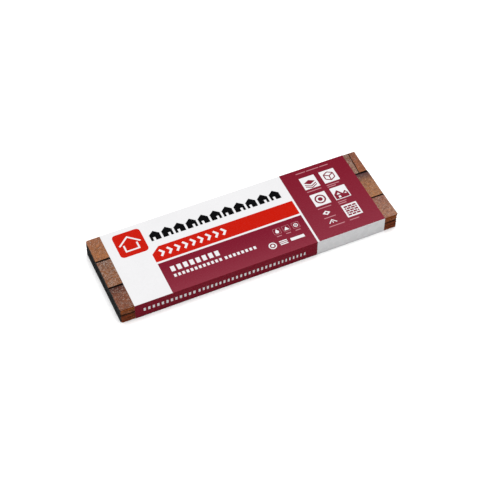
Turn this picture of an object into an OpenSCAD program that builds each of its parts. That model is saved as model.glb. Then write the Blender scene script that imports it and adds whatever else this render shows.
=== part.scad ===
// A bundle of laminated asphalt shingles in a printed wrap that is open at both ends.
// Millimetres. X runs along the shingles, Y across them and Z up. The origin is the middle
// of the rectangle that the bundle lies on.

/* [Shingle] */
// Length of one shingle
shingle_length = 1000; // [700:5:1300]
// Width of one shingle
shingle_width = 318; // [240:1:420]
// Thickness of one shingle, with both plies and their granules
shingle_thickness = 4.3; // [3:0.1:6]
// Radius of a shingle's corners in plan
corner_radius = 6; // [1:0.5:12]

/* [Tab rows] */
// Width of the middle row of tabs, from gap centre to gap centre
middle_row_width = 118; // [90:1:150]
// Width of the shadow gap between two rows
row_gap = 5; // [2:0.5:8]
// Width of the gap between two tabs in one row
tab_gap = 3; // [1:0.5:6]
// Depth of all these gaps, from the granule face down to the backing ply
gap_depth = 1.2; // [0.5:0.1:2]
// Length of one tab
tab_length = 195; // [120:1:300]
// Length of the cut tab at the right end of the back row
end_tab_length = 27; // [10:1:100]
// How far each row's tabs start from those of the row behind it
tab_shift = 65; // [20:1:110]
// How far a tab's side leans over the width of its row
tab_lean = 7; // [0:1:15]

/* [Stack] */
// Number of shingles in the bundle
shingle_count = 15; // [11:1:20]
// How far a shingle may lie off the middle of the stack, lengthwise
play_x = 1; // [0:0.1:2]
// How far a shingle may lie off the middle of the stack, crosswise
play_y = 0.5; // [0:0.1:1]
// Which shingle, counted from the floor, is cut narrower than the rest
narrow_shingle = 9; // [2:1:10]
// How far its long edges lie behind those of the others
narrow_inset = 4; // [1:0.5:8]

/* [Wrap] */
// Thickness of the film
film_thickness = 0.4; // [0.3:0.1:0.8]
// Free space between the film's lap and the shingle that lies nearest to it
film_clearance = 0.1; // [0.1:0.1:0.5]
// Length of shingle that shows at the left end
bare_left = 50; // [20:1:120]
// Length of shingle that shows at the right end
bare_right = 45; // [20:1:120]
// Width of the glued lap, which runs along the back
lap_width = 30; // [15:1:30]

/* [Hidden] */
$fn = 48;

// Two digits keep the names in order.
function shingle_name(i) = str("shingle_", i < 10 ? "0" : "", i);

OVERCUT = 1;      // how far a cutter runs past the face that it cuts
WANDER = 137.5;   // degrees from one shingle's offset to the next, so that none repeats

UPPER_BROWN = [0.47, 0.27, 0.13];
LOWER_BROWN = [0.36, 0.18, 0.11];
ASPHALT = [0.17, 0.16, 0.16];
BURGUNDY = [0.54, 0.16, 0.22];

stack_height = shingle_count * shingle_thickness;
// Room beside the top and bottom shingles, which lie in the middle. The film bends in it.
side_room = play_y + film_thickness + film_clearance;
film_inner_width = shingle_width + 2 * side_room;
wrap_length = shingle_length - bare_left - bare_right;

// The top and bottom shingles lie true. The others wander by up to the play.
function offset_of(i, play, start) =
    i == 1 || i == shingle_count ? 0 : play * sin(i * WANDER + start);

function width_of(i) = shingle_width - (i == narrow_shingle ? 2 * narrow_inset : 0);

function brown_of(i) =
    i == narrow_shingle ? ASPHALT : i > narrow_shingle ? UPPER_BROWN : LOWER_BROWN;

module rounded_rectangle(size, radius) {
    square([size.x - 2 * radius, size.y], center = true);
    square([size.x, size.y - 2 * radius], center = true);
    for (x = [-1, 1], y = [-1, 1])
        translate([x * (size.x / 2 - radius), y * (size.y / 2 - radius)])
            circle(radius);
}

// The two gaps that part the three rows of tabs, seen from above
module row_gaps() {
    for (side = [-1, 1])
        translate([0, side * middle_row_width / 2])
            square([shingle_length + 2 * OVERCUT, row_gap], center = true);
}

// The gaps between the tabs of one row: row 0 is at the back and row 2 at the front.
// Their sides lean in turn to the left and to the right, so every tab is a trapezium.
module tab_gaps(row) {
    far_edge = shingle_width / 2 + OVERCUT;
    row_back = [far_edge, middle_row_width / 2, -middle_row_width / 2][row];
    row_front = [middle_row_width / 2, -middle_row_width / 2, -far_edge][row];
    first = shingle_length / 2 - end_tab_length - row * tab_shift;
    steps = floor((first + shingle_length / 2 - tab_gap) / tab_length);
    for (k = [0 : steps]) {
        x = first - k * tab_length;
        lean = (k % 2 == 0 ? 1 : -1) * tab_lean / 2;
        polygon([
            [x + lean - tab_gap / 2, row_back],
            [x + lean + tab_gap / 2, row_back],
            [x - lean + tab_gap / 2, row_front],
            [x - lean - tab_gap / 2, row_front]
        ]);
    }
}

// One laminated shingle, granule face up. Every other one is turned end for end.
module shingle(i) {
    color(brown_of(i))
    translate([
        offset_of(i, play_x, 0),
        offset_of(i, play_y, 90),
        film_thickness + (i - 1) * shingle_thickness
    ])
    rotate((i + shingle_count) % 2 * 180)
    difference() {
        linear_extrude(shingle_thickness)
            rounded_rectangle([shingle_length, width_of(i)], corner_radius);
        translate([0, 0, shingle_thickness - gap_depth])
            linear_extrude(gap_depth + OVERCUT) {
                row_gaps();
                for (row = [0 : 2]) tab_gaps(row);
            }
    }
}

// One sheet of film round the middle of the stack. Its end is glued inside the back wall.
module wrap() {
    outer = [film_inner_width + 2 * film_thickness, stack_height + 2 * film_thickness];
    inner = [film_inner_width, stack_height];
    color(BURGUNDY)
    translate([bare_left - shingle_length / 2, 0, film_thickness + stack_height / 2])
    rotate([90, 0, 90])
    linear_extrude(wrap_length) {
        difference() {
            rounded_rectangle(outer, side_room + film_thickness);
            rounded_rectangle(inner, side_room);
        }
        // Two films thick: the lap and the wall that it is glued to
        translate([inner.x / 2 - film_thickness, -lap_width / 2])
            square([2 * film_thickness, lap_width]);
    }
}

for (i = [1 : shingle_count])
    shingle(i);
wrap();
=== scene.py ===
import math

import bpy
import numpy as np
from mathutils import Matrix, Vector
from mathutils.geometry import delaunay_2d_cdt


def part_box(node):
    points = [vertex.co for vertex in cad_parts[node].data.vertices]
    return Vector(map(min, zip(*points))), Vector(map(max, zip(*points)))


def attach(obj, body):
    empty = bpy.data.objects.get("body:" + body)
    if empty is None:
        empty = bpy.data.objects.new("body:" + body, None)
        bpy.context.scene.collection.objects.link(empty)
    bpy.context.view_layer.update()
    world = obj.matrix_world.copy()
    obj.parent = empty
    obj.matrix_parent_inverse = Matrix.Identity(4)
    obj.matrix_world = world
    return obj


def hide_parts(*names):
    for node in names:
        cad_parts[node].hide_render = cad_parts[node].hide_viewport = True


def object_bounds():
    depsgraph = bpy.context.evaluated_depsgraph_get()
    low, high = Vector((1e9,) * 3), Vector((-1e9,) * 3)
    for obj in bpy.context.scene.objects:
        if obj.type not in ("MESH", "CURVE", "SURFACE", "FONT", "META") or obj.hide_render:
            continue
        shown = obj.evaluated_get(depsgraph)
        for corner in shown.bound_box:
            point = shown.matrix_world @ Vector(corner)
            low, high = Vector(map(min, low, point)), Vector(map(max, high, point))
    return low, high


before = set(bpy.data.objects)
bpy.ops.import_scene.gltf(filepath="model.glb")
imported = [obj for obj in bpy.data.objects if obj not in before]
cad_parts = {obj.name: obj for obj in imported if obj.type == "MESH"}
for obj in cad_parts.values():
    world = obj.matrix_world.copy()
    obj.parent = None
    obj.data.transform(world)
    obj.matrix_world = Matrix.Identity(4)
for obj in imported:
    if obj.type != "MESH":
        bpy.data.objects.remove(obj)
cad_low, cad_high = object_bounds()

# A stack of laminated asphalt shingles in a printed film wrap that is open at both ends.
# Lengths are in metres, in the frame of the CAD model, unless a comment says millimetres.

MM = 0.001
SHINGLES = sorted(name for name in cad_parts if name.startswith("shingle"))
TOP_SHINGLE = SHINGLES[-1]
NARROW = 9                      # the shingle, counted from the floor, that is cut narrower
wrap_low, wrap_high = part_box("wrap")

# Layout of the tabs, as in the CAD model
ROW_LINE = 59 * MM              # from the middle of the shingle to each gap between rows
ROW_GAP = 5 * MM
TAB_GAP = 3 * MM
GAP_DEPTH = 1.2 * MM
END_TAB = 27 * MM               # length of the cut tab at the right end of the back row
TAB_LEAN = 7 * MM

# Detail of the shingles that the CAD model doesn't have
LEFT_CORNER = 8 * MM            # plan radius of the corners at the left end
RIGHT_CORNER = 1.5 * MM
MIDDLE_STEP = 1.2 * MM          # how far the middle row runs out past the back row at the right
FRONT_STEP = 0.6 * MM           # and the front row past the middle row
CORNER_STEP = 1.2 * MM          # and the front corner past the rest of the front row
CORNER_LENGTH = 40 * MM         # it starts this far into that row and builds up over as much
ROW_TURN = 2 * MM               # the other two build up over this width
LIP = 3.0 * MM                  # how far the shadow of a row gap runs onto the tabs at most
LIP_START = 0.25                # share of that at the left of each bare end
LIP_FRONT = 0.3                 # share of that all along the front gap of the right end
LIP_EVEN = 0.1                  # within this share of its width, beside the gap, it is even
LIP_POWER = 1.5                 # above 1, so the shadow fades slowly at first
GAP_WALL = 0.25 * MM            # how far the walls of a gap lean
GRANULE = 1.7 * MM
GRANULE_HEIGHT = 0.38 * MM
FACE_BOW = 0.12 * MM            # how far the granule face bows up and down
RIM_DROP = 0.15 * MM            # how far its rim lies below it
EDGE_WANDER = 0.8 * MM          # how far a cut edge strays from a straight line
WANDER_REACH = 12 * MM          # how far in that is felt
END_WAVE = 23 * MM              # how long the waves of an end are
SIDE_WAVE = 31 * MM             # and those of a long edge
BOW_WAVE = 40 * MM              # and those of the face
CUT_END = 0.72                  # an edge that faces this much along X is cut, without granules

# Mesh sizes
FINE_STEP = 0.9 * MM            # where the top shingle shows
EDGE_STEP = 1.0 * MM            # along the edges that show
HIDDEN_STEP = 45 * MM           # under the wrap
HIDDEN_MARGIN = 8 * MM          # how far the fine mesh runs in under the wrap
HIDDEN_LEFT = wrap_low.x + HIDDEN_MARGIN
HIDDEN_RIGHT = wrap_high.x - HIDDEN_MARGIN
ONE_CELL = 1.0                  # a step longer than any stretch, which leaves it whole

# Each blend of granules: its colour at the back of a tab, its colour at the front, how far the
# first one reaches, and the share of pale granules. All colours here are linear RGB.
OCHRE = ((0.276, 0.111, 0.059), (0.286, 0.118, 0.053), 40 * MM, 0.05)
ASH = ((0.172, 0.083, 0.055), (0.226, 0.094, 0.046), 45 * MM, 0.17)
MAUVE = ((0.072, 0.026, 0.020), (0.174, 0.066, 0.041), 26 * MM, 0.09)
SLATE = ((0.175, 0.080, 0.055), (0.243, 0.138, 0.098), 60 * MM, 0.12)
RUST = ((0.215, 0.087, 0.056), (0.262, 0.093, 0.047), 60 * MM, 0.02)
TAN = ((0.085, 0.043, 0.046), (0.296, 0.136, 0.069), 34 * MM, 0.04)
ROSE = ((0.228, 0.101, 0.073), (0.284, 0.140, 0.094), 40 * MM, 0.07)
SHADOW = (0.004, 0.003, 0.003, 0)
SHADOW_FRONT = -ROW_LINE + 0.6 * MM     # in the front gap's right end, the painted shadow ends here
EDGE_OCHRE = (0.410, 0.100, 0.020, 0.01)
RIGHT_OCHRE = 0.78              # how light that is at the right end, against the left
EDGE_GREY = (0.350, 0.105, 0.038, 0.03)
EDGE_RUST = (0.280, 0.060, 0.018, 0.01)
UPPER_SHARE = 0.6               # above this share of the stack the edges are grey
TOP_SHARE = 0.8                 # and above this one ochre
LAYER_SHADE = (0.8, 1.15)       # how light a shingle's edge is, from the darkest to the lightest
BESIDE_NARROW = 0.3             # how light an edge is right beside the narrow shingle, in painted shade
COVERED_SHADE = 0.15            # how light a face is that the next shingle covers: painted shade, seen between the layers

# Inks of the wrap
WHITE = (0.640, 0.637, 0.645)
SIDE_BURGUNDY = (0.181, 0.0040, 0.0160)
REAR_BURGUNDY = (0.163, 0.0078, 0.0192)     # the rear of the right panel
LOWER_BURGUNDY = (0.156, 0.0065, 0.0195)    # the rear of the lower panel
FRONT_SHEEN_BURGUNDY = (0.194, 0.0225, 0.0385)    # both panels lighten to this towards the front, a painted sheen
SHEEN_POWER = 1.4                # above 1, so they keep their rear colour longer before the painted sheen
RED = (0.434, 0.0070, 0.0015)
BLACK = (0.0030, 0.0030, 0.0035)
CAPTION = (0.430, 0.190, 0.215)
INKS = ("white", "side", "right", "lower", "red", "black", "caption")
INSIDE = len(INKS)              # material slot of the wrap's unprinted inner face
GRANULES, CUT, SANDED = range(3)            # material slots of a shingle


# ------------------------ noise and mesh helpers

def value_noise(x, y, cell, seed):
    """Smooth noise from -1 to 1, with features about one cell wide."""
    table = np.random.default_rng(seed).random((256, 256))
    u, v = x / cell, y / cell
    i, j = np.floor(u).astype(int), np.floor(v).astype(int)
    fu, fv = u - i, v - j
    fu, fv = fu * fu * (3 - 2 * fu), fv * fv * (3 - 2 * fv)

    def corner(a, b):
        return table[(i + a) % 256, (j + b) % 256]

    near = corner(0, 0) * (1 - fu) + corner(1, 0) * fu
    far = corner(0, 1) * (1 - fu) + corner(1, 1) * fu
    return 2 * (near * (1 - fv) + far * fv) - 1


def granule_relief(x, y, size, seed):
    """Height from 0 to 1 of a bed of rounded granules, each about size across."""
    jitter_x, jitter_y, height = np.random.default_rng(seed).random((3, 256, 256))
    u, v = x / size, y / size
    i, j = np.floor(u).astype(int), np.floor(v).astype(int)
    relief = np.zeros_like(u)
    for a in (-1, 0, 1):
        for b in (-1, 0, 1):
            cell = (i + a) % 256, (j + b) % 256
            away = (u - i - a - jitter_x[cell]) ** 2 + (v - j - b - jitter_y[cell]) ** 2
            dome = (0.4 + 0.6 * height[cell]) * np.sqrt(np.clip(1 - away / 0.6, 0, 1))
            relief = np.maximum(relief, dome)
    return relief


def stops(*stretches):
    """Coordinates along a line that is cut into stretches of (start, end, step)."""
    parts = []
    for start, end, step in stretches:
        cells = max(1, round((end - start) / step))
        parts.append(np.linspace(start, end, cells, endpoint=False))
    return np.append(np.concatenate(parts), stretches[-1][1])


def make_piece(name, node, vertices, faces, materials, material_index):
    """A mesh piece that stands for a CAD node and rides where that node rides."""
    mesh = bpy.data.meshes.new(name)
    mesh.from_pydata([tuple(v) for v in vertices], [], faces)
    for material in materials:
        mesh.materials.append(material)
    mesh.polygons.foreach_set("material_index", np.asarray(material_index, dtype=np.int32))
    mesh.validate()
    mesh.update()
    piece = bpy.data.objects.new(name, mesh)
    bpy.context.scene.collection.objects.link(piece)
    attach(piece, "root")
    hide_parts(node)
    return piece


def paint(mesh, name, colours):
    """Stores a linear RGBA colour for each vertex."""
    layer = mesh.attributes.new(name, "FLOAT_COLOR", "POINT")
    layer.data.foreach_set("color", np.asarray(colours, dtype=float).ravel())


# ------------------------ materials

class Nodes:
    """A material's node tree, with a short call for each kind of node."""

    def __init__(self, name):
        self.material = bpy.data.materials.new(name)
        self.material.use_nodes = True
        self.tree = self.material.node_tree
        self.shader = self.tree.nodes["Principled BSDF"]

    def add(self, kind, settings=(), inputs=()):
        node = self.tree.nodes.new(kind)
        for key, value in dict(settings).items():
            setattr(node, key, value)
        for key, value in dict(inputs).items():
            self.feed(node.inputs[key], value)
        return node

    def feed(self, socket, value):
        if isinstance(value, bpy.types.NodeSocket):
            self.tree.links.new(value, socket)
        else:
            socket.default_value = value

    def place(self):
        return self.add("ShaderNodeTexCoord").outputs["Object"]

    def painted(self, name):
        """The outputs of a colour that is painted on the mesh."""
        return self.add("ShaderNodeAttribute", {"attribute_name": name}).outputs

    def noise(self, place, scale, detail=2.0):
        inputs = {"Vector": place, "Scale": scale, "Detail": detail}
        return self.add("ShaderNodeTexNoise", inputs=inputs).outputs["Fac"]

    def wander(self, place, scale, low, high, detail=2.0):
        """A value that wanders from low to high. Noise seldom leaves the span 0.3 to 0.7."""
        return self.between(self.noise(place, scale, detail), low, high, 0.3, 0.7)

    def cells(self, place, scale):
        inputs = {"Vector": place, "Scale": scale}
        return self.add("ShaderNodeTexVoronoi", inputs=inputs)

    def between(self, value, low, high, start=0.0, end=1.0):
        """value taken from the span start..end to the span low..high."""
        inputs = {"Value": value, "From Min": start, "From Max": end}
        inputs |= {"To Min": low, "To Max": high}
        return self.add("ShaderNodeMapRange", inputs=inputs).outputs["Result"]

    def math(self, operation, first, second):
        node = self.add("ShaderNodeMath", {"operation": operation})
        self.feed(node.inputs[0], first)
        self.feed(node.inputs[1], second)
        return node.outputs[0]

    def parts(self, colour):
        """The red, green and blue of a colour."""
        return self.add("ShaderNodeSeparateColor", inputs={"Color": colour}).outputs

    def grey(self, value):
        inputs = {"Red": value, "Green": value, "Blue": value}
        return self.add("ShaderNodeCombineColor", inputs=inputs).outputs["Color"]

    def blend(self, kind, factor, first, second):
        """Colours first and second mixed, multiplied and so on."""
        node = self.add("ShaderNodeMixRGB", {"blend_type": kind})
        self.feed(node.inputs["Fac"], factor)
        self.feed(node.inputs["Color1"], first)
        self.feed(node.inputs["Color2"], second)
        return node.outputs["Color"]

    def ramp(self, value, colours):
        """A colour for value, from evenly spaced linear colours."""
        node = self.add("ShaderNodeValToRGB", inputs={"Fac": value})
        steps = node.color_ramp.elements
        while len(steps) < len(colours):
            steps.new(0.5)
        for k, colour in enumerate(colours):
            steps[k].position = k / (len(colours) - 1)
            steps[k].color = (*colour, 1)
        return node.outputs["Color"]

    def bump(self, height, distance, strength=1.0):
        inputs = {"Height": height, "Distance": distance, "Strength": strength}
        return self.add("ShaderNodeBump", inputs=inputs).outputs["Normal"]

    def finish(self, colour, roughness, normal, specular=0.5):
        self.feed(self.shader.inputs["Base Color"], colour)
        self.feed(self.shader.inputs["Roughness"], roughness)
        self.feed(self.shader.inputs["Normal"], normal)
        self.shader.inputs["Specular IOR Level"].default_value = specular
        return self.material


def granule_material():
    """Coloured mineral granules bedded in asphalt, around the tone painted on the mesh."""
    n = Nodes("granules")
    place = n.place()
    tone = n.painted("tone")
    cells = n.cells(place, 1 / GRANULE)
    pick = n.parts(cells.outputs["Color"])
    shades = [(0.64, 0.60, 0.58), (0.92, 0.90, 0.88), (1.04, 1.03, 1.02), (1.14, 1.15, 1.17),
              (1.32, 1.37, 1.44)]
    colour = n.blend("MULTIPLY", 1.0, tone["Color"], n.ramp(pick["Red"], shades))
    patches = n.ramp(n.wander(place, 90.0, 0.0, 1.0), [(0.79, 0.82, 0.89), (1.20, 1.17, 1.06)])
    colour = n.blend("MULTIPLY", 1.0, colour, patches)
    clusters = n.between(n.noise(place, 110.0, 1.0), 0.1, 2.6, 0.35, 0.65)
    is_pale = n.math("LESS_THAN", pick["Green"], n.math("MULTIPLY", tone["Alpha"], clusters))
    pale = n.blend("MIX", 0.40, (0.440, 0.370, 0.320, 1), colour)
    colour = n.blend("MIX", is_pale, colour, pale)
    bed = n.blend("MULTIPLY", 1.0, tone["Color"], (0.16, 0.15, 0.15, 1))
    between_grains = n.between(cells.outputs["Distance"], 0.0, 0.55, 0.40, 0.80)
    colour = n.blend("MIX", between_grains, colour, bed)
    colour = n.blend("MULTIPLY", 1.0, colour, n.painted("shade")["Color"])
    height = n.between(cells.outputs["Distance"], 1.0, 0.0, 0.0, 0.8)
    rough = n.between(n.noise(place, 900.0), 0.78, 0.98)
    return n.finish(colour, rough, n.bump(height, 0.4 * MM, 0.5), 0.15)


def asphalt_material():
    """A cut edge: asphalt filled with pale stone dust, and dragged along by the blade."""
    n = Nodes("asphalt_cut")
    place = n.place()
    specks = n.parts(n.cells(place, 900.0).outputs["Color"])
    dust = n.between(specks["Green"], 0.0, 0.5, 0.86, 1.0)
    smear = n.wander(place, 160.0, 0.0, 1.0, 4.0)
    colour = n.blend("MIX", smear, (0.033, 0.036, 0.036, 1), (0.071, 0.075, 0.076, 1))
    colour = n.blend("MIX", dust, colour, (0.115, 0.115, 0.113, 1))
    colour = n.blend("MULTIPLY", 1.0, colour, n.painted("shade")["Color"])
    rough = n.between(n.noise(place, 500.0), 0.6, 0.9)
    height = n.noise(place, 1300.0, 3.0)
    return n.finish(colour, rough, n.bump(height, 0.3 * MM, 0.6), 0.35)


def sanded_material():
    """The back of a shingle: asphalt under a coat of fine sand."""
    n = Nodes("sanded_back")
    place = n.place()
    grains = n.parts(n.cells(place, 1800.0).outputs["Color"])
    sand = n.between(grains["Red"], 0.0, 0.8, 0.45, 1.0)
    cover = n.math("MULTIPLY", sand, n.wander(place, 35.0, 0.4, 1.0, 3.0))
    colour = n.blend("MIX", cover, (0.035, 0.034, 0.034, 1), (0.260, 0.235, 0.200, 1))
    rough = n.between(n.noise(place, 700.0), 0.75, 0.95)
    return n.finish(colour, rough, n.bump(grains["Blue"], 0.2 * MM, 0.5), 0.3)


def film_material(name, ink, roughness=0.27, specular=0.22, sheen_ink=None, panel_back=0.0):
    """Printed film, drawn tight: a faint unevenness in the ink, and shallow ripples.

    Given a second ink for the front, the colour runs from ink at y = panel_back to that one at the
    front: a painted sheen.
    """
    n = Nodes(name)
    place = n.place()
    colour = (*ink, 1)
    if sheen_ink:
        y = n.add("ShaderNodeSeparateXYZ", inputs={"Vector": place}).outputs["Y"]
        way = n.between(y, 0.0, 1.0, panel_back, wrap_low.y)
        colour = n.blend("MIX", n.math("POWER", way, SHEEN_POWER), colour, (*sheen_ink, 1))
    density = n.wander(place, 9.0, 0.985, 1.01)
    colour = n.blend("MULTIPLY", 1.0, colour, n.grey(density))
    rough = n.wander(place, 45.0, roughness - 0.05, roughness + 0.07, 4.0)
    ripple = n.noise(place, 11.0, 2.0)
    return n.finish(colour, rough, n.bump(ripple, 1.0 * MM, 0.12), specular)


# ------------------------ shingles

def rounded(x, y, half_length, half_width):
    """Moves points of a rectangle so that its four corners become round."""
    radius = np.where(x > 0, RIGHT_CORNER, LEFT_CORNER)
    a = (np.abs(x) - half_length + radius) / radius
    b = (np.abs(y) - half_width + radius) / radius
    corner = (a > 0) & (b > 0)
    a, b = np.where(corner, a, 1), np.where(corner, b, 1)
    reach = np.maximum(a, b)
    angle = np.where(a >= b, math.pi / 4 * b / a, math.pi / 2 - math.pi / 4 * a / b)
    round_x = half_length - radius * (1 - reach * np.cos(angle))
    round_y = half_width - radius * (1 - reach * np.sin(angle))
    return (np.where(corner, np.sign(x) * round_x, x), np.where(corner, np.sign(y) * round_y, y))


def strayed(x, y, half_length, half_width, seed):
    """Lets the outline wander inwards. The inside follows within a short reach."""
    end_pull = np.clip(1 - (half_length - np.abs(x)) / WANDER_REACH, 0, 1)
    side_pull = np.clip(1 - (half_width - np.abs(y)) / WANDER_REACH, 0, 1)
    end_stray = EDGE_WANDER * (0.5 + 0.5 * value_noise(y, np.sign(x), END_WAVE, seed))
    side_stray = EDGE_WANDER * (0.5 + 0.5 * value_noise(x, np.sign(y), SIDE_WAVE, seed + 1))
    return x - np.sign(x) * end_pull * end_stray, y - np.sign(y) * side_pull * side_stray


def border(columns, rows):
    """Indices of a grid's outer points, once round, where point = column * rows + row."""
    index = np.arange(columns * rows).reshape(columns, rows)
    return np.concatenate([index[:-1, 0], index[-1, :-1], index[:0:-1, -1], index[0, :0:-1]])


# One edge from below the rim to the bottom: share of the thickness, inset in millimetres, and
# how light it is. The two plies part at half height, where the edge is darker, and the bottom
# edge carries painted shade where one shingle lies on the next.
EDGE_PROFILE = ((0.92, 0.10, 1.0), (0.80, 0.00, 1.0), (0.67, 0.05, 1.0), (0.56, 0.20, 0.7),
                (0.50, 0.75, 0.3), (0.44, 0.25, 0.7), (0.31, 0.10, 0.9), (0.20, 0.12, 0.9),
                (0.09, 0.35, 0.6), (0.00, 0.90, 0.2))
RIM_INSET = 0.45 * MM           # inset of the rim of the top face
PLY_SHIFT = 0.25 * MM           # how far a ply strays in or out
PLY_WAVE = 60 * MM              # how long the waves are in which it strays
EDGE_GRAIN = 1.3 * MM           # size of the granules on the edges
EDGE_GRAIN_HEIGHT = 0.30 * MM
GRAIN_ROOM = 0.28 * MM          # how much further in the edge lies, to leave them room


def edge_wall(ring, low_z, high_z, seed):
    """Points of the edge below a ring of plan points, level by level, and the plan normals."""
    ahead, behind = np.roll(ring, -1, axis=0), np.roll(ring, 1, axis=0)
    along = ahead - behind
    normal = np.stack([along[:, 1], -along[:, 0]], axis=1)
    normal /= np.linalg.norm(normal, axis=1)[:, None]
    length = np.concatenate([[0], np.cumsum(np.linalg.norm(np.diff(ring, axis=0), axis=1))])
    levels = []
    for share, inset, _ in EDGE_PROFILE:
        z = np.full(len(ring), low_z + share * (high_z - low_z))
        ply = 0 * length + (share > 0.5)
        ply_shift = PLY_SHIFT * value_noise(length, ply, PLY_WAVE, seed + 2)
        rough = EDGE_GRAIN_HEIGHT * granule_relief(length, z, EDGE_GRAIN, seed + 3)
        inward = inset * MM + ply_shift + GRAIN_ROOM - rough - RIM_INSET
        flat = ring - normal * inward[:, None]
        levels.append(np.column_stack([flat, z]))
    return levels, normal


def wall_faces(ring, first, levels):
    """Quads of the wall. The ring is its top, and the levels below it follow from first."""
    def at(level, k):
        k %= len(ring)
        return int(ring[k]) if level == 0 else first + (level - 1) * len(ring) + k

    faces = []
    for level in range(levels):
        for k in range(len(ring)):
            faces.append((at(level, k), at(level + 1, k), at(level + 1, k + 1), at(level, k + 1)))
    return faces


def edge_tone(layer):
    """Granules on a shingle's long edges, which change from the floor to the top."""
    share = layer / len(SHINGLES)
    if share > TOP_SHARE:
        return EDGE_OCHRE
    return EDGE_GREY if share > UPPER_SHARE else EDGE_RUST


def edge_shade(layer, share, shade):
    """How light a level of the edge is, with painted shade right beside the narrow shingle's
    recess.
    """
    over = layer == NARROW + 1 and share < 0.3
    under = layer == NARROW - 1 and share > 0.6
    return BESIDE_NARROW * shade if over or under else shade


def wall_paint(layer, x, seed):
    """Tone and shade of the edge, level by level, where x is that of each point round it. The
    narrow shingle's recessed edge is painted with the shadow tone.
    """
    levels = len(EDGE_PROFILE)
    tone = np.tile(edge_tone(layer) if layer != NARROW else SHADOW, (levels * len(x), 1))
    light = [edge_shade(layer, share, shade) for share, _, shade in EDGE_PROFILE]
    shade = np.random.default_rng(seed).uniform(*LAYER_SHADE) * np.repeat(light, len(x))
    if edge_tone(layer) == EDGE_OCHRE:
        shade *= np.tile(np.where(x > 0, RIGHT_OCHRE, 1), levels)
    return tone, shade


def lean_at(y):
    """How far the split in the back row lies from its middle, at y."""
    low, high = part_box(TOP_SHINGLE)
    share = np.clip((y - ROW_LINE) / (high.y - ROW_LINE), 0, 1)
    return TAB_LEAN * (share - 0.5)


def gap_depth(x, y, split):
    """How deep the gaps between the tabs are at each point, and 0 on the tabs."""
    def across(distance, width):
        return np.clip((width / 2 - np.abs(distance)) / GAP_WALL, 0, 1)

    rows = np.maximum(across(y - ROW_LINE, ROW_GAP), across(y + ROW_LINE, ROW_GAP))
    tabs = across(x - split, TAB_GAP) * (y > ROW_LINE)
    return GAP_DEPTH * np.maximum(rows, tabs)


def tab_tone(x, y, split, half_width):
    """Granule colour of each tab that shows, and as alpha its share of pale granules."""
    tone = np.empty((len(x), 4))
    left, end_tab = x < 0, x > split
    back, front = y > ROW_LINE, y < -ROW_LINE
    middle = ~back & ~front
    from_back = np.where(back, half_width, np.where(front, -ROW_LINE, ROW_LINE)) - y
    tabs = ((left & back, OCHRE), (left & middle, ASH), (left & front, MAUVE),
            (~left & back & ~end_tab, SLATE), (end_tab & back, RUST), (~left & middle, TAN),
            (~left & front, ROSE))
    for here, (rear_colour, front_colour, reach, pale) in tabs:
        share = 1 - np.exp(-np.clip(from_back[here], 0, 1) ** 2 / reach ** 2)
        share = share[:, None]
        tone[here, :3] = (1 - share) * rear_colour + share * np.array(front_colour)
        tone[here, 3] = pale
    return tone


def row_step(y):
    """How far the rows of tabs run out past the back row at the right end."""
    middle = np.clip((ROW_LINE - y) / ROW_TURN, 0, 1)
    front = np.clip((-ROW_LINE - y) / ROW_TURN, 0, 1)
    corner = np.clip((-ROW_LINE - CORNER_LENGTH - y) / CORNER_LENGTH, 0, 1)
    return MIDDLE_STEP * middle + FRONT_STEP * front + CORNER_STEP * corner


def lip_shade(x, y, half_length):
    """How light the tabs are beside the gaps between rows.

    The shadow of a gap widens to the right, but it stays narrow in the right end's front half.
    """
    bare = np.where(x < 0, x + half_length, x - wrap_high.x)
    bare_length = np.where(x < 0, wrap_low.x + half_length, half_length - wrap_high.x)
    lip = LIP * (LIP_START + (1 - LIP_START) * np.clip(bare / bare_length, 0, 1))
    lip = np.where((x > 0) & (y < 0), LIP_FRONT * LIP, lip)
    away = np.abs(np.abs(y) - ROW_LINE) - ROW_GAP / 2
    return np.clip(away / lip, LIP_EVEN, 1) ** LIP_POWER


def face_lines(half_length, half_width, split):
    """Grid lines of the top shingle's face, with one at each lip and each foot of a gap."""
    lip, foot = split - TAB_GAP / 2, split - TAB_GAP / 2 + GAP_WALL
    end_lip, end_foot = split + TAB_GAP / 2, split + TAB_GAP / 2 - GAP_WALL
    columns = stops((-half_length, HIDDEN_LEFT, FINE_STEP),
                    (HIDDEN_LEFT, HIDDEN_RIGHT, HIDDEN_STEP), (HIDDEN_RIGHT, lip, FINE_STEP),
                    (lip, foot, ONE_CELL), (foot, end_foot, FINE_STEP),
                    (end_foot, end_lip, ONE_CELL), (end_lip, half_length, FINE_STEP))
    near, far = ROW_LINE - ROW_GAP / 2, ROW_LINE + ROW_GAP / 2
    places = (-half_width, -far, GAP_WALL - far, -near - GAP_WALL, -near, near,
              near + GAP_WALL, far - GAP_WALL, far, half_width)
    steps = [FINE_STEP, ONE_CELL] * 4 + [FINE_STEP]
    return columns, stops(*zip(places, places[1:], steps))


def face_tone(x, y, depth, split, half_length, half_width):
    """Granule colour all over the top shingle's face, with painted shadow in the gaps and beside
    them.
    """
    tone = tab_tone(x, y, split, half_width)
    tone *= lip_shade(x, y, half_length)[:, None]
    lit_floor = (x > 0) & (y < SHADOW_FRONT) & (y > -(ROW_LINE + ROW_GAP / 2))
    tone[(depth > 0.5 * GAP_DEPTH) & ~lit_floor] = SHADOW
    return tone


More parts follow.
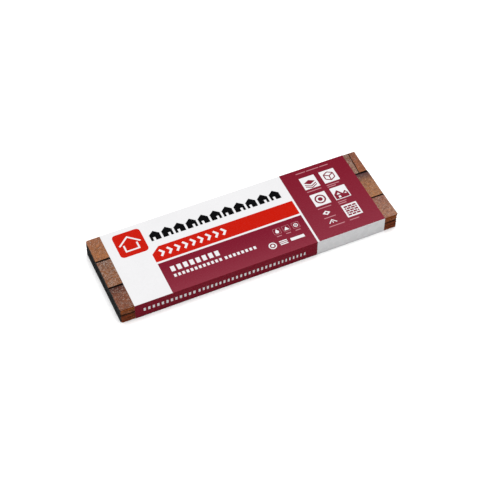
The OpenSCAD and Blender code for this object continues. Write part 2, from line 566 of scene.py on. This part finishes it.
def top_surface(low, high, seed):
    """The granule face of the top shingle as a grid: its points, quads, border and tones."""
    half_length, half_width = (high.x - low.x) / 2, (high.y - low.y) / 2
    middle_x, middle_y = (high.x + low.x) / 2, (high.y + low.y) / 2
    split = half_length - END_TAB
    columns, rows = face_lines(half_length, half_width, split)
    x, y = (g.ravel() for g in np.meshgrid(columns, rows, indexing="ij"))
    depth = gap_depth(x, y, split)
    tone = face_tone(x, y, depth, split, half_length, half_width)
    hat = np.where(x < split, (x - HIDDEN_RIGHT) / (split - HIDDEN_RIGHT),
                   (half_length - x) / END_TAB)
    x = x + lean_at(y) * np.clip(hat, 0, 1)
    x, y = rounded(x, y, half_length, half_width)
    x, y = strayed(x, y, half_length, half_width, seed)
    x += np.clip(1 - (half_length - x) / END_TAB, 0, 1) * row_step(y)
    relief = granule_relief(x, y, GRANULE, seed + 4)
    bow = FACE_BOW * value_noise(x, y, BOW_WAVE, seed + 5)
    z = high.z - depth - GRANULE_HEIGHT * (1 - relief) - FACE_BOW + bow
    z = np.minimum(z, high.z)
    ring = border(len(columns), len(rows))
    z[ring] -= RIM_DROP
    index = np.arange(len(x)).reshape(len(columns), len(rows))
    quads = np.stack([index[:-1, :-1], index[1:, :-1], index[1:, 1:], index[:-1, 1:]], axis=-1)
    points = np.column_stack([x + middle_x, y + middle_y, z])
    return points, quads.reshape(-1, 4).tolist(), ring, tone


def outline(low, high, seed):
    """Plan points once round a lower shingle, close together where its edges show."""
    half_length, half_width = (high.x - low.x) / 2, (high.y - low.y) / 2
    columns = stops((-half_length, HIDDEN_LEFT, EDGE_STEP),
                    (HIDDEN_LEFT, HIDDEN_RIGHT, HIDDEN_STEP),
                    (HIDDEN_RIGHT, half_length, EDGE_STEP))
    rows = stops((-half_width, half_width, EDGE_STEP))
    sides = [(columns[:-1], -half_width), (half_length, rows[:-1]),
             (columns[:0:-1], half_width), (-half_length, rows[:0:-1])]
    ring = np.concatenate([np.column_stack(np.broadcast_arrays(x, y)) for x, y in sides])
    x, y = rounded(ring[:, 0], ring[:, 1], half_length, half_width)
    x, y = strayed(x, y, half_length, half_width, seed)
    return np.column_stack([x + (low.x + high.x) / 2, y + (low.y + high.y) / 2])


def build_shingle(node, layer, materials):
    """One shingle. Only the top one has a modelled face, as film or shingles hide the others."""
    low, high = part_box(node)
    seed = 100 * layer
    is_top = node == TOP_SHINGLE
    if is_top:
        cap, faces, ring, cap_tone = top_surface(low, high, seed)
    else:
        plan = outline(low, high, seed)
        cap = np.column_stack([plan, np.full(len(plan), high.z)])
        ring = np.arange(len(plan))
        faces, cap_tone = [ring.tolist()], np.tile(edge_tone(layer), (len(plan), 1))
    material_index = [GRANULES if is_top else CUT] * len(faces)
    levels, normal = edge_wall(cap[ring, :2], low.z, high.z, seed)
    points = np.concatenate([cap] + levels)
    for level in range(len(levels)):
        granule_rim = is_top and level == 0
        material_index += [CUT if end and not granule_rim else GRANULES
                           for end in np.abs(normal[:, 0]) > CUT_END]
    underside = list(range(len(points) - 1, len(points) - len(ring) - 1, -1))
    faces = faces + wall_faces(ring, len(cap), len(levels)) + [underside]
    material_index.append(SANDED)
    wall_tone, wall_shade = wall_paint(layer, cap[ring, 0], seed)
    shade = np.concatenate([np.full(len(cap), 1.0 if is_top else COVERED_SHADE), wall_shade])
    piece = make_piece(node + "_detailed", node, points, faces, materials, material_index)
    paint(piece.data, "tone", np.concatenate([cap_tone, wall_tone]))
    paint(piece.data, "shade", np.column_stack([shade, shade, shade, np.ones(len(shade))]))


# ------------------------ the wrap's sheet

FILM = 0.25 * MM                # thickness of the film
FILM_RIGHT = wrap_high.x - 1.2 * MM     # its right end, a little short of the CAD model's
SHEET_STEP = 8 * MM             # mesh size of the sheet
BEND_RADIUS = 1.4 * MM          # outside radius where the film turns round the stack's edges
BEND_STEPS = 6
LAP = 30 * MM                   # how far the sheet's end lies over its start
LAP_RAMP = 6 * MM               # length over which the start comes out from under the end
LAP_ROOM = 0.05 * MM            # space between the sheet's start and its end
WALL_WAVE = 0.18 * MM           # height of the waves in the walls
TOP_WAVE = 0.10 * MM            # and in the top
WAVE_LENGTH = 75 * MM
WAVE_RISE = 12 * MM             # how far from a bend they reach their full height
WAVE_SEED = 7
END_STRAY = 0.25 * MM           # how far the film's two open ends stray from a straight line
END_STRAY_WAVE = 40 * MM
BEND_MARGIN = 0.6 * MM          # a mesh line lies this far from each bend, to keep it crisp
TOUCH = 1e-6                    # places closer than this count as one
SHARP_ANGLE = 40                # degrees between two faces from which their edge looks sharp


def sheet_path():
    """The line that the outside of the sheet follows round the stack, seen from the left end.

    It starts on the back, runs down, under, up the front, over the top and down the back
    again to the lap. Each stretch is its length and a function that gives, for shares of
    that length, the place (y, z) and the outward normal.
    """
    half, top, r = (wrap_high.y - wrap_low.y) / 2, wrap_high.z, BEND_RADIUS
    lap_top, lap_bottom = (top + LAP) / 2, (top - LAP) / 2

    def line(start, end, normal):
        def place(t):
            y = start[0] + (end[0] - start[0]) * t
            z = start[1] + (end[1] - start[1]) * t
            return y, z, 0 * t + normal[0], 0 * t + normal[1]
        return math.dist(start, end), place

    def bend(centre, start, end):
        def place(t):
            angle = np.radians(start + (end - start) * t)
            cos, sin = np.cos(angle), np.sin(angle)
            return centre[0] + r * cos, centre[1] + r * sin, cos, sin
        return r * math.pi / 2, place

    inner = half - r
    return [
        line((half, lap_top), (half, r), (1, 0)),
        bend((inner, r), 0, -90),
        line((inner, 0), (-inner, 0), (0, -1)),
        bend((-inner, r), -90, -180),
        line((-half, r), (-half, top - r), (-1, 0)),
        bend((-inner, top - r), 180, 90),
        line((-inner, top), (inner, top), (0, 1)),
        bend((inner, top - r), 90, 0),
        line((half, top - r), (half, lap_bottom), (1, 0)),
    ]


PATH = sheet_path()
STARTS = np.concatenate([[0], np.cumsum([length for length, _ in PATH])])
SHEET_WIDTH = float(STARTS[-1])


def round_stack(s):
    """Place and outward normal at distances s along the sheet path."""
    y, z, ny, nz = (np.zeros_like(s) for _ in range(4))
    part = np.clip(np.searchsorted(STARTS, s, side="right") - 1, 0, len(PATH) - 1)
    for k, (length, place) in enumerate(PATH):
        here = part == k
        y[here], z[here], ny[here], nz[here] = place((s[here] - STARTS[k]) / length)
    return y, z, ny, nz


def on_top(y):
    """Distance along the sheet path of a place on the top, at y."""
    return float(STARTS[6] + y + (wrap_high.y - wrap_low.y) / 2 - BEND_RADIUS)


def on_front(z):
    """Distance along the sheet path of a place on the front, at z."""
    return float(STARTS[4] + z - BEND_RADIUS)


FRONT_FOOT = float((STARTS[3] + STARTS[4]) / 2)     # middles of the four bends
FRONT_BROW = float((STARTS[5] + STARTS[6]) / 2)
BACK_BROW = float((STARTS[7] + STARTS[8]) / 2)
BACK_FOOT = float((STARTS[1] + STARTS[2]) / 2)


# ------------------------ the wrap's print
# Shapes are in millimetres, in the plan of the top or the elevation of the front. They hold
# no lettering: rows of tabs, roofs and bars stand where a maker would print words.

SIDE_END = 201 * MM             # where the burgundy of the front and the back ends
LOWER_START, LOWER_END = -318 * MM, 201.5 * MM      # ends of the lower panel
LOWER_BACK = -29.8 * MM         # rear edge of the lower panel
RIGHT_START = 208.5 * MM        # left end of the right panel


def box(x0, y0, x1, y1):
    return [(x0, y0), (x1, y0), (x1, y1), (x0, y1)]


def round_box(x0, y0, x1, y1, radius, steps=6):
    """A rectangle with round corners."""
    corners = ((x1, y1, 0), (x0, y1, 90), (x0, y0, 180), (x1, y0, 270))
    points = []
    for x, y, start in corners:
        for k in range(steps + 1):
            angle = math.radians(start + 90 * k / steps)
            inset_x = (-1 if x == x1 else 1) * radius
            inset_y = (-1 if y == y1 else 1) * radius
            points.append((x + inset_x + radius * math.cos(angle),
                           y + inset_y + radius * math.sin(angle)))
    return points


def disc(x, y, radius, sides=28):
    turn = 2 * math.pi / sides
    return [(x + radius * math.cos(k * turn), y + radius * math.sin(k * turn))
            for k in range(sides)]


def stroke(points, width):
    """A line of even width through points, with mitred turns."""
    points = [Vector(p) for p in points]
    sides = [(b - a).orthogonal().normalized() for a, b in zip(points, points[1:])]
    left, right = [], []
    for k, point in enumerate(points):
        before, after = sides[max(k - 1, 0)], sides[min(k, len(sides) - 1)]
        mitre = (before + after).normalized()
        mitre *= width / 2 / mitre.dot(after)
        left.append(tuple(point + mitre))
        right.append(tuple(point - mitre))
    return left + right[::-1]


def tab_row(x0, x1, y0, y1, count, gap):
    """A row of plain tabs."""
    pitch = (x1 - x0 + gap) / count
    return [box(x0 + k * pitch, y0, x0 + (k + 1) * pitch - gap, y1) for k in range(count)]


def chevron_row(x0, x1, y0, y1, count, width):
    """A row of chevrons that point right, each a bent stroke."""
    pitch = (x1 - x0) / count
    reach = 0.4 * (y1 - y0)
    return [stroke([(x, y0), (x + reach, (y0 + y1) / 2), (x, y1)], width)
            for x in (x0 + k * pitch for k in range(count))]


def house(x, y, size):
    """A roof over three walls, drawn in strokes."""
    width = 0.16 * size
    roof = stroke([(x - size, y), (x, y + 0.85 * size), (x + size, y)], width)
    walls = stroke([(x - 0.62 * size, y - 0.02 * size), (x - 0.62 * size, y - 0.75 * size),
                    (x + 0.62 * size, y - 0.75 * size), (x + 0.62 * size, y - 0.02 * size)], width)
    return [roof, walls]


def street(x0, x1, y0, y1, count):
    """A row of gabled houses, and the doors and windows cut out of them."""
    pitch = (x1 - x0) / (count - 0.08)
    half = 0.46 * pitch
    eaves = y0 + 0.60 * (y1 - y0)
    houses, openings = [], []
    for k in range(count):
        x = x0 + half + k * pitch
        houses.append([(x - 0.90 * half, y0), (x + 0.90 * half, y0), (x + 0.90 * half, eaves),
                       (x + half, eaves), (x, y1), (x - half, eaves), (x - 0.90 * half, eaves)])
        side = half * (0.25 if k % 2 else -0.25)
        openings.append(box(x + side - 0.2 * half, y0, x + side + 0.2 * half, y0 + 0.7 * half))
    return houses, openings


def layers(x, y, size):
    """A solid lozenge over two bent strokes."""
    lozenge = [(x - size, y + 0.35 * size), (x, y - 0.15 * size), (x + size, y + 0.35 * size),
               (x, y + 0.85 * size)]
    sheets = [stroke([(x - size, y + drop), (x, y + drop - 0.5 * size), (x + size, y + drop)],
                     0.17 * size) for drop in (-0.05 * size, -0.42 * size)]
    return [lozenge] + sheets


def cube(x, y, size):
    """A cube seen corner on, drawn in strokes."""
    rim = [(x + size * math.cos(math.radians(a)), y + size * math.sin(math.radians(a)))
           for a in range(90, 450, 60)]
    edges = [stroke([rim[k], rim[(k + 1) % 6]], 0.2 * size) for k in range(6)]
    return edges + [stroke([(x, y), rim[k]], 0.2 * size) for k in (1, 3, 5)]


def courses(x0, y0, x1, y1, rows, gap, count):
    """Courses of shingles, count to a course, with the joints of each one staggered."""
    tall = (y1 - y0 + gap) / rows
    long = (x1 - x0 + gap) / count
    tiles = []
    for row in range(rows):
        joints = [x0 + (k + row % 2 / 2) * long for k in range(count + 1 - row % 2)]
        edges = [x0] * (row % 2) + joints + [x1 + gap] * (row % 2)
        for left, right in zip(edges, edges[1:]):
            tiles.append(box(left, y0 + row * tall, right - gap, y0 + (row + 1) * tall - gap))
    return tiles


def top_print():
    """Every shape on the top as (ink, outline), in the order that they are printed."""
    art = [("red", [(-319, -22.3), (201.5, -22.3), (201.5, 40), (-288, 40), (-319, 14)])]

    def ink(name, *outlines):
        art.extend((name, outline) for outline in outlines)

    # Left: a patch with a house, a street, and rows of chevrons and tabs
    ink("red", round_box(-417, 38, -318, 141, 14))
    ink("white", *house(-368.5, 88, 37))
    houses, openings = street(-301, 178, 67.5, 109.5, 11)
    ink("black", *houses)
    ink("white", *openings)
    ink("white", *chevron_row(-292, -43, -4, 24, 9, 8))
    ink("white", *tab_row(-287, -116, -78.5, -56.5, 8, 8))
    ink("white", *tab_row(-287, -118, -102.5, -90.5, 12, 6))
    ink("white", *tab_row(-107, 5, -102.5, -90.5, 8, 6))

    # Lower panel: two rows of small signs
    for x in (97, 131, 166):
        ink("caption", round_box(x - 13, -76, x + 13, -50, 3, 2))
        ink("lower", round_box(x - 12, -75, x + 12, -51, 2.5, 2))
        ink("caption", box(x - 10, -86, x + 8, -83))
    ink("white", disc(97, -65, 6.5), [(91.5, -62), (102.5, -62), (97, -53)])
    ink("white", [(122, -70), (140, -70), (131, -55)])
    ink("white", disc(166, -63, 8))
    ink("lower", disc(166, -63, 5))
    ink("white", disc(166, -63, 2.2))
    ink("white", disc(58, -114, 14))
    ink("lower", disc(58, -114, 10))
    ink("white", disc(58, -114, 5.5))
    for y in (-123, -116, -109):
        ink("white", box(84, y, 112, y + 4))
    ink("white", box(124, -120, 174, -108))

    # Right panel: four large signs, a patch of courses and two small signs
    ink("caption", box(265, 141, 301, 144), box(305, 141, 352, 144), box(356, 141, 388, 144))
    squares = ((265, 63), (340, 63), (265, -20.5), (341, -20.5), (342, -106))
    for x, y in squares:
        ink("white", box(x, y, x + 56.5, y + 56.5))
    ink("right", *layers(293, 85, 21))
    ink("right", *cube(368, 91, 20))
    ink("right", disc(293, 7.5, 20))
    ink("white", disc(293, 7.5, 14.5))
    ink("right", disc(293, 7.5, 8.5))
    ink("right", [(344, -18), (394, -18), (394, 0), (386, 12), (376, 1), (360, 22), (344, 4)])
    ink("white", [(353, 1), (367, 1), (360, 10)], box(356, -14, 364, -5),
        [(380, -2), (391, -2), (386, 4)])
    ink("right", *courses(348, -100, 393, -56, 5, 2.5, 3))
    ink("white", [(270, -57), (284.5, -67), (299, -57), (284.5, -47)])
    ink("right", disc(284.5, -57, 4))
    ink("white", stroke([(273, -105), (287, -91), (301, -105)], 3.5), box(285.5, -106, 288.5, -97))
    captions = ((265, 319, 52), (340, 387, 53), (340, 371, 45), (265, 315, -32), (341, 373, -31),
                (341, 369, -39), (266, 309, -78), (265, 323, -118), (342, 377, -118))
    for x0, x1, y in captions:
        ink("caption", box(x0, y - 1.6, x1, y + 1.6))
    return art


FRONT_SKEW = 0.007              # how much the row of tabs on the front falls to the right


def front_print():
    """Every shape on the front as (ink, outline). The rest of it is the sheet's own panels."""
    words = ((-421, -240, 12), (-229, -119, 8), (-111, 47, 11), (56, 157, 8))
    tabs = [tab for x0, x1, count in words for tab in tab_row(x0, x1, 22.2, 36.2, count, 8)]
    return [("white", [(x, z - FRONT_SKEW * x) for x, z in tab]) for tab in tabs]


def sheet_print():
    """The whole print as (ink, outline) on the flat sheet, in metres."""
    art = [("side", box(wrap_low.x, BACK_FOOT, SIDE_END, 0.0)),
           ("side", box(wrap_low.x, FRONT_FOOT, SIDE_END, FRONT_BROW)),
           ("lower", box(LOWER_START, FRONT_BROW, LOWER_END, on_top(LOWER_BACK))),
           ("right", box(RIGHT_START, FRONT_BROW, FILM_RIGHT, BACK_BROW)),
           ("side", box(wrap_low.x, BACK_BROW, SIDE_END, SHEET_WIDTH))]
    for ink, shape in top_print():
        art.append((ink, [(x * MM, on_top(y * MM)) for x, y in shape]))
    for ink, shape in front_print():
        art.append((ink, [(x * MM, on_front(z * MM)) for x, z in shape]))
    return art


def split_edges(shape, s_lines):
    """The outline with a point wherever one of its sides crosses a line of the mesh."""
    points = []
    for (x0, s0), (x1, s1) in zip(shape, shape[1:] + shape[:1]):
        points.append((x0, s0))
        low, high = sorted((s0, s1))
        crossed = s_lines[(s_lines > low + TOUCH) & (s_lines < high - TOUCH)]
        for s in crossed if s1 > s0 else crossed[::-1]:
            share = (s - s0) / (s1 - s0)
            points.append((x0 + share * (x1 - x0), float(s)))
    return points


def inside(x, s, shape):
    """Which points lie inside an outline."""
    shape = np.array(shape)
    found = np.zeros(len(x), bool)
    for (x0, s0), (x1, s1) in zip(shape, np.roll(shape, -1, axis=0)):
        if s0 == s1:
            continue
        spans = (s0 > s) != (s1 > s)
        found ^= spans & (x < (x1 - x0) * (s - s0) / (s1 - s0) + x0)
    return found


def flat_sheet():
    """The flat sheet cut into triangles along the print: its points, triangles and inks."""
    s_stretches = []
    for k, (length, _) in enumerate(PATH):
        start, end = STARTS[k], STARTS[k + 1]
        if k % 2:
            s_stretches.append((start, end, length / BEND_STEPS))
        else:
            near, far = start + BEND_MARGIN, end - BEND_MARGIN
            s_stretches += [(start, near, ONE_CELL), (near, far, SHEET_STEP),
                            (far, end, ONE_CELL)]
    s_lines = stops(*s_stretches)
    x_lines = stops((wrap_low.x, FILM_RIGHT, SHEET_STEP))
    grid_x, grid_s = (g.ravel() for g in np.meshgrid(x_lines, s_lines, indexing="ij"))
    points = [Vector(p) for p in zip(grid_x, grid_s)]
    edges = []
    art = sheet_print()
    for _, shape in art:
        first = len(points)
        rim = split_edges(shape, s_lines)
        points += [Vector(p) for p in rim]
        edges += [(first + k, first + (k + 1) % len(rim)) for k in range(len(rim))]
    found = delaunay_2d_cdt(points, edges, [], 0, TOUCH, False)
    flat = np.array([tuple(p) for p in found[0]])
    triangles = np.array([f for f in found[2] if len(f) == 3])
    centre = flat[triangles].mean(axis=1)
    ink = np.zeros(len(triangles), dtype=int)
    for name, shape in art:
        xs, ss = zip(*shape)
        near = np.flatnonzero((centre[:, 0] > min(xs)) & (centre[:, 0] < max(xs))
                              & (centre[:, 1] > min(ss)) & (centre[:, 1] < max(ss)))
        ink[near[inside(centre[near, 0], centre[near, 1], shape)]] = INKS.index(name)
    return flat, triangles, ink


def film_offset(x, s):
    """How far the film lies outside the CAD model's face, which is inwards where negative."""
    under = -(FILM + LAP_ROOM) * np.clip((LAP + LAP_RAMP - s) / LAP_RAMP, 0, 1)
    wave = np.zeros_like(s)
    for k, height in ((0, WALL_WAVE), (4, WALL_WAVE), (6, TOP_WAVE), (8, WALL_WAVE)):
        start, end = STARTS[k], STARTS[k + 1]
        rise = np.clip(np.minimum(s - start, end - s) / WAVE_RISE, 0, 1)
        seed = WAVE_SEED if k in (0, 8) else WAVE_SEED + k
        wave += height * rise * value_noise(x, s, WAVE_LENGTH, seed) * ((s > start) & (s < end))
    return under + np.where(s < LAP + LAP_RAMP, 0, wave)


def build_wrap(materials):
    """One sheet of film, printed side out, wrapped round the stack with its end on its start."""
    flat, triangles, ink = flat_sheet()
    x, s = flat.T
    y, z, ny, nz = round_stack(s)
    offset = film_offset(x, s)
    end = (x < wrap_low.x + TOUCH) | (x > FILM_RIGHT - TOUCH)
    x = x + end * END_STRAY * value_noise(s, np.sign(x), END_STRAY_WAVE, 5) * -np.sign(x)
    outer = np.column_stack([x, y + ny * offset, z + nz * offset])
    inner = np.column_stack([x, outer[:, 1] - ny * FILM, outer[:, 2] - nz * FILM])
    count = len(outer)
    edges = np.concatenate([triangles[:, [0, 1]], triangles[:, [1, 2]], triangles[:, [2, 0]]])
    _, first_seen, uses = np.unique(np.sort(edges, axis=1), axis=0, return_index=True,
                                    return_counts=True)
    rim = edges[first_seen[uses == 1]]
    rim_faces = np.column_stack([rim[:, 1], rim[:, 0], rim[:, 0] + count, rim[:, 1] + count])
    faces = triangles.tolist() + (triangles[:, ::-1] + count).tolist() + rim_faces.tolist()
    material_index = ink.tolist() + [INSIDE] * (len(triangles) + len(rim_faces))
    piece = make_piece("wrap_film", "wrap", np.concatenate([outer, inner]), faces,
                       materials, material_index)
    piece.data.shade_smooth()
    piece.data.set_sharp_from_angle(angle=math.radians(SHARP_ANGLE))


# ------------------------ stage

ROOM = 0.20                     # how bright the room is, against white paper
GLOSS_ROOM = 0.05               # the same as glossy surfaces reflect it
FLOOR_GLOW = 0.07               # how brightly the floor glows, to keep the shadow on it faint
FLOOR_REACH = 12.0
FLOOR_DROP = 0.2 * MM           # how far it lies below the pack
SUN_STRENGTH = 3.84
SUN_SPREAD = 60                 # degrees across, for soft shadows
SUN_TILT = (-4, 3)              # degrees about X and about Y
PANEL_SIZE = (2.6, 0.8)
PANEL_POWER = 1.5
PANEL_PLACE = (0.7, 1.15, 2.7)


def build_floor():
    """A plain white floor."""
    mesh = bpy.data.meshes.new("floor")
    corners = box(-FLOOR_REACH, -FLOOR_REACH, FLOOR_REACH, FLOOR_REACH)
    mesh.from_pydata([(x, y, 0) for x, y in corners], [], [(0, 1, 2, 3)])
    n = Nodes("floor")
    speck = n.between(n.noise(n.place(), 3.0), 0.93, 0.95)
    n.shader.inputs["Emission Color"].default_value = (1, 1, 1, 1)
    n.shader.inputs["Emission Strength"].default_value = FLOOR_GLOW
    mesh.materials.append(n.finish(n.grey(speck), 0.9, n.bump(speck, 0.1 * MM), 0.1))
    floor = bpy.data.objects.new("floor", mesh)
    floor.location.z = -FLOOR_DROP
    bpy.context.scene.collection.objects.link(floor)
    floor.visible_glossy = False


def build_lights():
    """Soft light from overhead, and a long low-powered panel behind."""
    overhead = bpy.data.lights.new("overhead", "SUN")
    overhead.energy = SUN_STRENGTH
    overhead.angle = math.radians(SUN_SPREAD)
    lamp = bpy.data.objects.new("overhead", overhead)
    lamp.rotation_euler = (math.radians(SUN_TILT[0]), math.radians(SUN_TILT[1]), 0)
    lamp.visible_glossy = False
    bpy.context.scene.collection.objects.link(lamp)

    panel = bpy.data.lights.new("panel", "AREA")
    panel.shape = "RECTANGLE"
    panel.size, panel.size_y = PANEL_SIZE
    panel.energy = PANEL_POWER
    lamp = bpy.data.objects.new("panel", panel)
    lamp.location = PANEL_PLACE
    lamp.rotation_euler = Vector(lamp.location).to_track_quat("Z", "Y").to_euler()
    lamp.visible_camera = False
    bpy.context.scene.collection.objects.link(lamp)


def build_room():
    """The surroundings: white to the camera, dim to matt surfaces and dimmer to glossy ones."""
    world = bpy.data.worlds.new("room")
    bpy.context.scene.world = world
    world.use_nodes = True
    tree = world.node_tree
    room = tree.nodes["Background"]
    room.inputs["Color"].default_value = (1, 1, 1, 1)
    ray = tree.nodes.new("ShaderNodeLightPath").outputs
    dim = tree.nodes.new("ShaderNodeMath")
    dim.operation = "MULTIPLY_ADD"
    tree.links.new(ray["Is Glossy Ray"], dim.inputs[0])
    dim.inputs[1].default_value = GLOSS_ROOM - ROOM
    dim.inputs[2].default_value = ROOM
    seen = tree.nodes.new("ShaderNodeMath")
    seen.operation = "MAXIMUM"
    tree.links.new(dim.outputs[0], seen.inputs[0])
    tree.links.new(ray["Is Camera Ray"], seen.inputs[1])
    tree.links.new(seen.outputs[0], room.inputs["Strength"])


CAMERA_TURN = -24.94            # degrees from straight in front, minus to the left
CAMERA_RISE = 50.47             # degrees above the floor
CAMERA_ROLL = 0.576             # degrees
CAMERA_AWAY = 4.634
CAMERA_TARGET = (-0.0067, -0.0747)      # the plan place that it looks at, at half the height
LENS, SENSOR_WIDTH = 100.32, 36.0       # millimetres


def build_camera():
    """Looks down at the bundle from in front and to the left, from well back."""
    turn, rise = math.radians(CAMERA_TURN), math.radians(CAMERA_RISE)
    target = Vector((*CAMERA_TARGET, cad_high.z / 2))
    back = Vector((math.sin(turn) * math.cos(rise), -math.cos(turn) * math.cos(rise),
                   math.sin(rise)))
    data = bpy.data.cameras.new("camera")
    data.lens, data.sensor_width = LENS, SENSOR_WIDTH
    data.clip_start, data.clip_end = 0.1, 60.0
    camera = bpy.data.objects.new("camera", data)
    camera.location = target + back * CAMERA_AWAY
    camera.rotation_euler = (-back).to_track_quat("-Z", "Y").to_euler()
    camera.rotation_euler.rotate_axis("Z", math.radians(CAMERA_ROLL))
    bpy.context.scene.collection.objects.link(camera)
    bpy.context.scene.camera = camera


bpy.context.scene.view_settings.view_transform = "Standard"
build_camera()
build_lights()
build_room()
build_floor()
shingle_materials = [granule_material(), asphalt_material(), sanded_material()]
for number, node_name in enumerate(SHINGLES, start=1):
    build_shingle(node_name, number, shingle_materials)
film_materials = [
    film_material("film_white", WHITE),
    film_material("film_side", SIDE_BURGUNDY),
    # the right and lower panels carry a painted sheen that lightens them towards the front
    film_material("film_right", REAR_BURGUNDY, sheen_ink=FRONT_SHEEN_BURGUNDY, panel_back=wrap_high.y),
    film_material("film_lower", LOWER_BURGUNDY, sheen_ink=FRONT_SHEEN_BURGUNDY, panel_back=LOWER_BACK),
    film_material("film_red", RED),
    film_material("film_black", BLACK, specular=0.05),
    film_material("film_caption", CAPTION),
    film_material("film_inside", WHITE, roughness=0.5),
]
build_wrap(film_materials)
